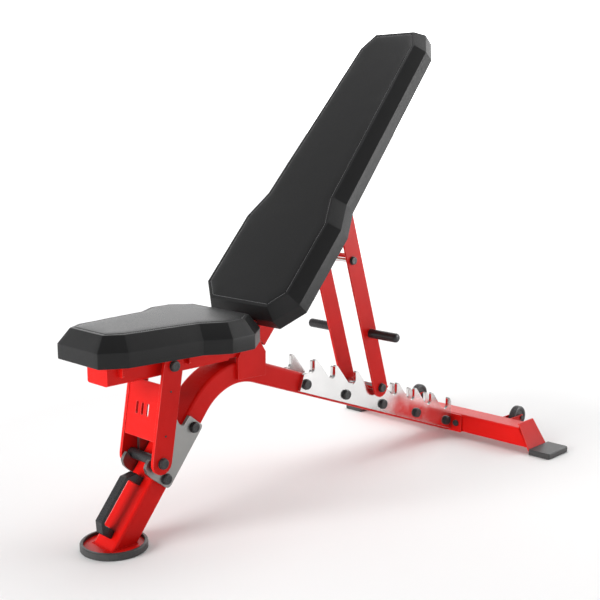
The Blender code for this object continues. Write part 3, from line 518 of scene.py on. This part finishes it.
def staples(name, corners, counts, grow, place, body):
    """Wire staples that hold the cover to the underside."""
    mesh = bmesh.new()
    halves = [max(2, count // 2) for count in counts]
    ring = dense_ring(grown(corners, grow - STAPLE_INSIDE), STAPLE_CORNER, halves, 2)
    for start, end in zip(ring, ring[1:] + ring[:1]):
        if (end - start).length >= STAPLE_RUN:
            middle = start.lerp(end, 0.5)
            reach = (end - start).normalized() * STAPLE_HALF
            bent_wire(mesh, place, middle - reach, middle + reach, *STAPLE_OUT, STAPLE_RADIUS, 6)
    made = finish_mesh(name, mesh, STAPLE, body, 40.0)


def pad(name, outline, bevel, thick, place, body, node, seed):
    corners = mirrored(outline)
    counts = run_counts(corners)
    cushion(name, corners, counts, bevel, thick, place, body, node, seed)
    stitching(name + "_stitching", corners, counts, thick, place, body)
    staples(name + "_staples", corners, counts, bevel[0], place, body)


pad("seat_cushion", SEAT_OUTLINE, SEAT_BEVEL, SEAT_THICK, seat_place, "seat", "seat_pad", 3.0)
pad("back_cushion", BACK_OUTLINE, BACK_BEVEL, BACK_THICK, back_place, "back", "back_pad", 11.0)


# ---------------------------------------------------------------- bolts, axles and the tie rod
def head_profile(base, tip, radius, shank_r):
    """From the shank to the end of one head: a washer, and a round head with a rolled edge and a dish."""
    way = 1.0 if tip > base else -1.0
    roll, ease, foot = 0.0014, 0.0003, 0.0008
    washer = 0.30 * abs(tip - base)
    head = 0.90 * radius
    points = [
        (base, shank_r), (base, radius - 0.0004), (base + way * 0.0004, radius),
        (base + way * (washer - ease), radius), (base + way * washer, radius - ease),
        (base + way * washer, head - foot), (base + way * (washer + ease), head - foot),
        (base + way * (washer + 0.0007), head),
    ]
    for k in range(6):
        turn = math.radians(90.0 * k / 5)
        points.append((tip - way * roll * (1.0 - math.sin(turn)), head - roll * (1.0 - math.cos(turn))))
    if radius > 0.009:
        dish = 0.58 * head
        points += [(tip, dish), (tip - way * 0.0005, dish - 0.0006), (tip - way * 0.0006, 0.30 * head)]
    return points


def bolt_sizes(node):
    """The height of a bolt's heads and the radius of its shank."""
    if node == "main_pivot_shaft":
        return 0.0050, 0.0060
    if "axle" in node:
        return 0.0040, 0.0042
    return 0.0080, 0.0047 if "ladder" in node else 0.0054


def detailed_bolt(node, body):
    low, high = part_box(node)
    radius = (high.z - low.z) / 2
    head, shank = bolt_sizes(node)
    left = list(reversed(head_profile(low.x + head, low.x, radius, shank)))
    right = head_profile(high.x - head, high.x, radius, shank)
    mesh = bmesh.new()
    lathe(mesh, left + right, (low + high) / 2)
    made = finish_mesh(node + "_detail", mesh, BLACK, body, 32.0)
    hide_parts(node)


def tie_rod():
    """A bright spacer tube between the strut bars, and a black bolt head outside each bar."""
    low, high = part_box("strut_tie_rod")
    centre = (low + high) / 2
    bar_low, bar_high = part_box("strut_bar_right")
    inner, outer = bar_low.x - 0.0003, bar_high.x + 0.0003
    bore, edge, ease = 0.0030, 0.0045, 0.0005
    half = [(inner - ease, edge + ease), (inner, edge), (inner, bore)]
    spacer = bmesh.new()
    lathe(spacer, [(-along, radius) for along, radius in reversed(half)] + half, centre)
    rod = finish_mesh("tie_rod_spacer", spacer, BRIGHT, "strut", 32.0)
    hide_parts("strut_tie_rod")
    heads = bmesh.new()
    radius, shank = (high.z - low.z) / 2, 0.0029
    for sign, tip in zip(SIDES, (low.x, high.x)):
        end = [(sign * (inner - ease), shank)] + head_profile(sign * outer, tip, radius, shank)
        lathe(heads, end, centre)
    made = finish_mesh("tie_rod_heads", heads, BLACK, "strut", 32.0)


for body, nodes in frame["record"]["behaviour"]["bodies"].items():
    for node in nodes:
        if is_bolt(node) and "flange" not in node:
            detailed_bolt(node, body)
tie_rod()


# ---------------------------------------------------------------- wheels, screws and the tube's plug
def wheel(node):
    """A hub with a dished side, and a tyre with round shoulders and a seam along its middle."""
    low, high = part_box(node)
    centre = (low + high) / 2
    radius = (high.z - low.z) / 2
    half = (high.x - low.x) / 2
    shoulder = 0.0048
    # from the bore in the hub out to the shoulder, and then to the seam
    side = [(-half * 0.97, 0.0045), (-half, 0.0052), (-half, 0.0100), (-half + 0.0026, 0.0120),
            (-half + 0.0030, 0.0190), (-half + 0.0008, 0.0212), (-half, 0.0226), (-half, radius - shoulder)]
    for k in range(1, 7):
        turn = math.radians(90.0 * k / 6)
        side.append((-half + shoulder * (1.0 - math.cos(turn)), radius - shoulder * (1.0 - math.sin(turn))))
    side += [(-0.0011, radius), (-0.0006, radius - 0.0007)]
    profile = side + [(-along, r) for along, r in reversed(side)]
    mesh = bmesh.new()
    lathe(mesh, [(centre.x + along, r) for along, r in profile], centre, segments=56, ring=True)
    made = finish_mesh(node + "_tyre", mesh, WHEEL_RUBBER, node, 35.0)
    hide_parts(node)


def link_spot(along, front):
    """(y, z) of a place on the seat link: along it from its roller, and out to its front."""
    way = (LINK_TOP - LINK_LOW).normalized()
    return LINK_LOW + way * along + Vector((-way.y, way.x)) * front


def link_screws():
    """Two small set screws on each side of the link."""
    mesh = bmesh.new()
    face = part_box("link_plate_right")[1].x
    for sign in SIDES:
        for along in (0.057, 0.151):
            spot = link_spot(along, 0.0)
            profile = [(face - 0.0002, 0.0001), (face - 0.0002, 0.0024), (face + 0.0004, 0.0024),
                       (face + 0.0009, 0.0019), (face + 0.0010, 0.0011), (face + 0.0004, 0.0009)]
            lathe(mesh, [(sign * x, r) for x, r in profile], (0.0, spot.x, spot.y), segments=20)
    made = finish_mesh("link_set_screws", mesh, BLACK, "seat_link", 35.0)


def tube_vent():
    """The vent hole in the front of the seat tube, as a dark dot: painted shade of the hole's inside."""
    mesh = bmesh.new()
    low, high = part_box("seat_tube")
    profile = [(low.y - 0.0001, 0.0019), (low.y - 0.0005, 0.0023), (low.y + 0.0003, 0.0026)]
    lathe(mesh, profile, (0.0, 0.0, high.z - 0.0245), "y", 20)
    made = finish_mesh("seat_tube_vent_painted_shade", mesh, BLACK, "seat", 35.0)


def back_tube_plug():
    """A pressed-in plastic plug: a thin rounded lid with a skirt inside the tube."""
    half_w, half_h = BACK_TUBE_HALF

    def ring(inside, corner, out):
        """A rounded rectangle inside the tube's outline, out over its end."""
        w, h = half_w - inside - corner, half_h - inside - corner
        points = []
        for cx, cz, start in ((w, h, 0), (-w, h, 90), (-w, -h, 180), (w, -h, 270)):
            for k in range(5):
                turn = math.radians(start + 90 * k / 4)
                x, up = cx + corner * math.cos(turn), cz + corner * math.sin(turn)
                points.append(back_place(x, BACK_TUBE_END + out, up + BACK_TUBE_MIDDLE))
        return points

    mesh = bmesh.new()
    add_loft(mesh, [
        ring(0.0036, 0.0020, -0.0120), ring(0.0036, 0.0020, 0.0004), ring(0.0004, 0.0046, 0.0004),
        ring(0.0002, 0.0048, 0.0022), ring(0.0012, 0.0042, 0.0034), ring(0.0060, 0.0030, 0.0038),
    ])
    made = finish_mesh("back_tube_top_plug", mesh, PLASTIC, "back", 40.0)


wheel("wheel_left")
wheel("wheel_right")
link_screws()
tube_vent()
back_tube_plug()


# ---------------------------------------------------------------- weld beads
TOUCH = 0.0004          # how far a bead's middle is off the plate's face
BEAD_STEP = 0.0014
BEAD_START, BEAD_TAPER = 0.35, 0.2      # its size at an end, and what each step adds until it is full


def weld_bead(mesh, corners, radius, seed):
    """A rippled bead through 3-D corner points."""
    points = [Vector(corner) for corner in corners]
    line = []
    for start, end in zip(points[:-1], points[1:]):
        steps = max(2, round((end - start).length / BEAD_STEP))
        line += [start.lerp(end, k / steps) for k in range(steps)]
    line.append(points[-1])

    def size(i):
        ends = min(1.0, BEAD_START + BEAD_TAPER * min(i, len(line) - 1 - i))
        ripple = 0.13 * math.sin(i * 2.1) + 0.18 * noise.noise(Vector((i * 0.31, seed, 0.0)))
        return ends * radius * (1.0 + ripple)

    tube_along(mesh, line, size, 8)


def foot_weld(mesh):
    """Round the leg on its foot plate."""
    tube_low, tube_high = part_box("main_tube")
    half = tube_high.x + 0.0005
    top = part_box("front_foot_plate")[1].z + TOUCH
    front, back = tube_low.y - TOUCH, tube_low.y + LEG_DEPTH
    loop = ((-half, back), (-half, front), (half, front), (half, back), (-half, back))
    weld_bead(mesh, [(x, y, top) for x, y in loop], 0.0013, 1.0)


def beam_welds(mesh, sign):
    """Up the beam's side on its flange, and along the foot of a pivot bracket."""
    tube_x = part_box("main_tube")[1].x
    flange_low, flange_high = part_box("rear_flange")
    face = flange_low.y - TOUCH
    upright = [(sign * (tube_x + 0.0005), face, z) for z in (flange_low.z + 0.0030, flange_high.z - 0.0020)]
    weld_bead(mesh, upright, 0.0020, 2.0 + sign)
    bracket_low, bracket_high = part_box("pivot_bracket_right")
    foot = zip((bracket_low.y + 0.0025, bracket_high.y - 0.0025), BRACKET_FOOT_Z)
    weld_bead(mesh, [(sign * (tube_x + 0.0008), y, z - 0.0005) for y, z in foot], 0.0018, 4.0 + sign)


def cross_member_welds(mesh, sign):
    """Down both edges and along the top of an end plate, and up both sides of a wheel bracket."""
    low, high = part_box("rear_cross_member")
    lean = (high.x - CROSS_TOP_X) / (high.z - low.z)
    ends = [(high.x - lean * (z - low.z) - TOUCH, z) for z in (low.z + 0.0030, high.z - 0.0025)]
    for y in (low.y + 0.0016, high.y - 0.0002):
        weld_bead(mesh, [(sign * x, y, z) for x, z in ends], 0.0016, 6.0 + sign)
    x, z = sign * (CROSS_TOP_X - 0.0002), high.z + 0.0005
    weld_bead(mesh, [(x, low.y + 0.0032, z), (x, high.y - 0.0030, z)], 0.0016, 8.0 + sign)
    wheel_low, wheel_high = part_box("wheel_bracket_right")
    middle = (wheel_low.x + wheel_high.x) / 2
    half = (wheel_high.x - wheel_low.x) / 2 + TOUCH
    y = high.y + 0.0006
    for x in (sign * middle - half, sign * middle + half):
        weld_bead(mesh, [(x, y, wheel_low.z + 0.001), (x, y, high.z - 0.0015)], 0.0014, 9.0 + x)


def frame_welds():
    mesh = bmesh.new()
    foot_weld(mesh)
    for sign in SIDES:
        beam_welds(mesh, sign)
        cross_member_welds(mesh, sign)
    made = finish_mesh("frame_welds", mesh, RED, "base", 60.0)


def seat_tab_welds():
    """Up both edges of each pad tab: the two nodes are on one side, and their twins are mirrored."""
    mesh = bmesh.new()
    for node in ("pad_tab_2", "pad_tab_4"):
        low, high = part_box(node)
        for sign in SIDES:
            x = sign * (low.x + 0.0002)
            for y in (low.y - 0.0003, high.y + 0.0003):
                weld_bead(mesh, [(x, y, low.z + 0.001), (x, y, high.z - 0.002)], 0.0013, y)
    made = finish_mesh("seat_tab_welds", mesh, RED, "seat", 60.0)


def link_welds():
    """Where the link's front web meets its two plates."""
    mesh = bmesh.new()
    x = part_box("link_plate_right")[0].x - 0.0005
    ends = [link_spot(along, 0.0192) for along in (0.047, 0.162)]
    for sign in SIDES:
        weld_bead(mesh, [(sign * x, spot.x, spot.y) for spot in ends], 0.0015, 12.0 + sign)
    made = finish_mesh("link_welds", mesh, RED, "seat_link", 60.0)


def strut_welds():
    """Round the ends of the brace inside the strut bars, and round the root of each grip."""
    mesh = bmesh.new()
    low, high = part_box("strut_brace")
    y, z = (low.y + high.y) / 2, (low.z + high.z) / 2
    grip_low, grip_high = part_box("grip_right")
    grip_y, grip_z = (grip_low.y + grip_high.y) / 2, (grip_low.z + grip_high.z) / 2
    bar_low, bar_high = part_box("strut_bar_right")
    inner, outer = bar_low.x - 0.0002, bar_high.x + 0.0003
    brace = ((0.0062, -0.0110), (-0.0010, 0.0120), (-0.0066, 0.0105), (0.0010, -0.0125), (0.0062, -0.0110))
    root = 0.0119
    for sign in SIDES:
        weld_bead(mesh, [(sign * inner, y + dy, z + dz) for dy, dz in brace], 0.0013, 14.0 + sign)
        ring = []
        for i in range(41):
            turn = 2.0 * math.pi * i / 40
            ring.append((sign * outer, grip_y + root * math.cos(turn), grip_z + root * math.sin(turn)))
        weld_bead(mesh, ring, 0.0011, 16.0 + sign)
    made = finish_mesh("strut_welds", mesh, RED, "strut", 60.0)


frame_welds()
seat_tab_welds()
link_welds()
strut_welds()

# ---------------------------------------------------------------- finishes on the carried-over solids
# How wide the softened edges are, for each family of plates.
SOFT_EDGES = {
    "seat_ladder": 0.0006, "back_ladder": 0.0007, "pivot_bracket": 0.0010, "link_plate": 0.0010,
    "link_web": 0.0008, "strut_bar": 0.0010, "strut_brace": 0.0012, "rear_flange": 0.0008,
    "end_plate": 0.0008, "wheel_bracket": 0.0006, "pad_tab": 0.0008,
}


def soften_edges(item, width, look):
    """Bevels the plate's edges, in the lighter patchy look that goes with its own: wear, and on red plates
    also a painted highlight.
    """
    item.data.materials.append(RED_EDGE_WEAR_AND_HIGHLIGHT if look is RED else STEEL_EDGE)
    merge = item.modifiers.new("merge", "WELD")
    merge.merge_threshold = 0.00001
    soften = item.modifiers.new("soften", "BEVEL")
    soften.width = width
    soften.segments = 2
    soften.limit_method = "ANGLE"
    soften.angle_limit = math.radians(35.0)
    soften.material = 1


for name, item in frame["nodes"].items():
    look = finish_of(name)
    if not item.material_slots:
        item.data.materials.append(look)
    for material_slot in item.material_slots:
        material_slot.material = look
    if family(name) in SOFT_EDGES:
        soften_edges(item, SOFT_EDGES[family(name)], look)

# ---------------------------------------------------------------- room, light and camera
WHITE = (1.0, 1.0, 1.0, 1.0)
FLOOR_HALF = 60.0
FLOOR_Z = -0.0006
FLOOR_GLOW = ((1.0, 5.0), (0.0, 0.75))         # distance from the bench, emission
BEHIND = (-0.697, 0.717, 0.0)                  # level, from the camera past the bench
WORLD_FACING = ((0.0, 0.80), (0.30, 2.60))     # how far a direction points BEHIND, strength
WORLD_HIGH = ((0.22, 0.60), (1.0, 0.28))       # its height, share of that strength
WORLD_LOW = ((0.12, 0.30), (1.10, 0.20))       # its height, least strength
KEY = ((-3.2, -17.6, 5.4), (0.0, 0.0, 0.35), 11.0)
CAMERA_PLACE = (1.6796, -1.1832 + SHIFT_Y, 0.8723)
CAMERA_WAY = (-0.6867, 0.7066, -0.1709)
CAMERA_SENSOR, CAMERA_LENS = 36.0, 61.34       # mm


def floor():
    """A pale floor that glows a little far away, so that it ends in white."""
    mesh = bmesh.new()
    signs = ((-1, -1), (1, -1), (1, 1), (-1, 1))
    corners = [(x * FLOOR_HALF, y * FLOOR_HALF, FLOOR_Z) for x, y in signs]
    mesh.faces.new([mesh.verts.new(corner) for corner in corners])
    data = bpy.data.meshes.new("floor")
    mesh.to_mesh(data)
    mesh.free()
    item = bpy.data.objects.new("floor", data)
    bpy.context.scene.collection.objects.link(item)
    made, tree, shader = new_material("floor_paint")
    shader.inputs["Base Color"].default_value = (0.84, 0.84, 0.84, 1.0)
    shader.inputs["Roughness"].default_value = 0.9
    shader.inputs["Specular IOR Level"].default_value = 0.1
    shader.inputs["Emission Color"].default_value = WHITE
    coords = tree.nodes.new("ShaderNodeTexCoord")
    reach = vector_maths(tree, "LENGTH", coords.outputs["Object"])
    glow = span(tree, reach.outputs["Value"], *FLOOR_GLOW)
    tree.links.new(glow, shader.inputs["Emission Strength"])
    data.materials.append(made)


def studio_world():
    """White surroundings: bright behind the bench and along the horizon, dim overhead and in front."""
    world = bpy.data.worlds.new("studio")
    bpy.context.scene.world = world
    world.use_nodes = True
    tree = world.node_tree
    background = tree.nodes["Background"]
    background.inputs["Color"].default_value = WHITE
    way = tree.nodes.new("ShaderNodeTexCoord").outputs["Generated"]
    facing = vector_maths(tree, "DOT_PRODUCT", way)
    facing.inputs[1].default_value = BEHIND
    split = tree.nodes.new("ShaderNodeSeparateXYZ")
    tree.links.new(way, split.inputs[0])
    wall = combined(tree, "MULTIPLY", span(tree, facing.outputs["Value"], *WORLD_FACING),
                    span(tree, split.outputs["Z"], *WORLD_HIGH))
    strength = combined(tree, "MAXIMUM", wall, span(tree, split.outputs["Z"], *WORLD_LOW))
    tree.links.new(strength, background.inputs["Strength"])


def area_light(name, place, aim, width, power, in_diffuse=True, in_gloss=True):
    """A square lamp that the camera doesn't see, for matt surfaces, for reflections or for both."""
    light = bpy.data.lights.new(name, "AREA")
    light.shape = "SQUARE"
    light.size = width
    light.energy = power
    item = bpy.data.objects.new(name, light)
    item.location = place
    item.rotation_mode = "QUATERNION"
    item.rotation_quaternion = (Vector(aim) - Vector(place)).to_track_quat("-Z", "Y")
    item.visible_camera = False
    item.visible_diffuse = in_diffuse
    item.visible_glossy = in_gloss
    bpy.context.scene.collection.objects.link(item)


def camera():
    data = bpy.data.cameras.new("camera")
    item = bpy.data.objects.new("camera", data)
    bpy.context.scene.collection.objects.link(item)
    item.location = CAMERA_PLACE
    item.rotation_mode = "QUATERNION"
    item.rotation_quaternion = Vector(CAMERA_WAY).to_track_quat("-Z", "Y")
    data.sensor_width = CAMERA_SENSOR
    data.lens = CAMERA_LENS
    data.clip_start = 0.05
    data.clip_end = 200.0
    bpy.context.scene.camera = item


floor()
studio_world()
area_light("key", *KEY, power=3500.0, in_gloss=False)
area_light("key_sheen", *KEY, power=1200.0)
area_light("top", (-0.2, 0.5, 3.4), (0.0, 0.0, 0.3), width=2.4, power=40.0)
area_light("side", (1.5, 2.9, 2.9), (0.1, 0.0, 0.4), width=2.2, power=45.0)
area_light("card", (3.1, 3.1, 0.85), (0.0, 0.0, 0.40), width=1.6, power=95.0, in_diffuse=False)
camera()
bpy.context.scene.view_settings.view_transform = "Standard"
